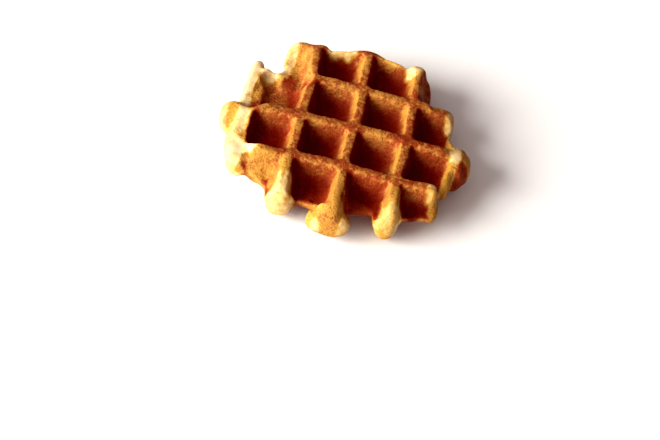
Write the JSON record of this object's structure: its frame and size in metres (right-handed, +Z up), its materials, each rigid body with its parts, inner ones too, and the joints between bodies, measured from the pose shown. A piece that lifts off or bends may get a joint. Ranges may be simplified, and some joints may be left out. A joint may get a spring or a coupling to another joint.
{
  "type": "belgian waffle",
  "caption": "Thick round waffle with a square grid of ridges and deep pockets on both faces, and pale soft lobes round its edge.",
  "frame": {"origin": "middle of the bounding box's underside, on the table", "axes": "+Z up out of the upper face, X and Y along the two sets of ridges, with the widest lobe towards -Y"},
  "size_m": [0.106, 0.0962, 0.022],
  "materials": {
    "crust": "baked dough crust, golden brown, pale at the free edges"
  },
  "bodies": {
    "root": {"waffle": "crust"}
  },
  "joints": []
}
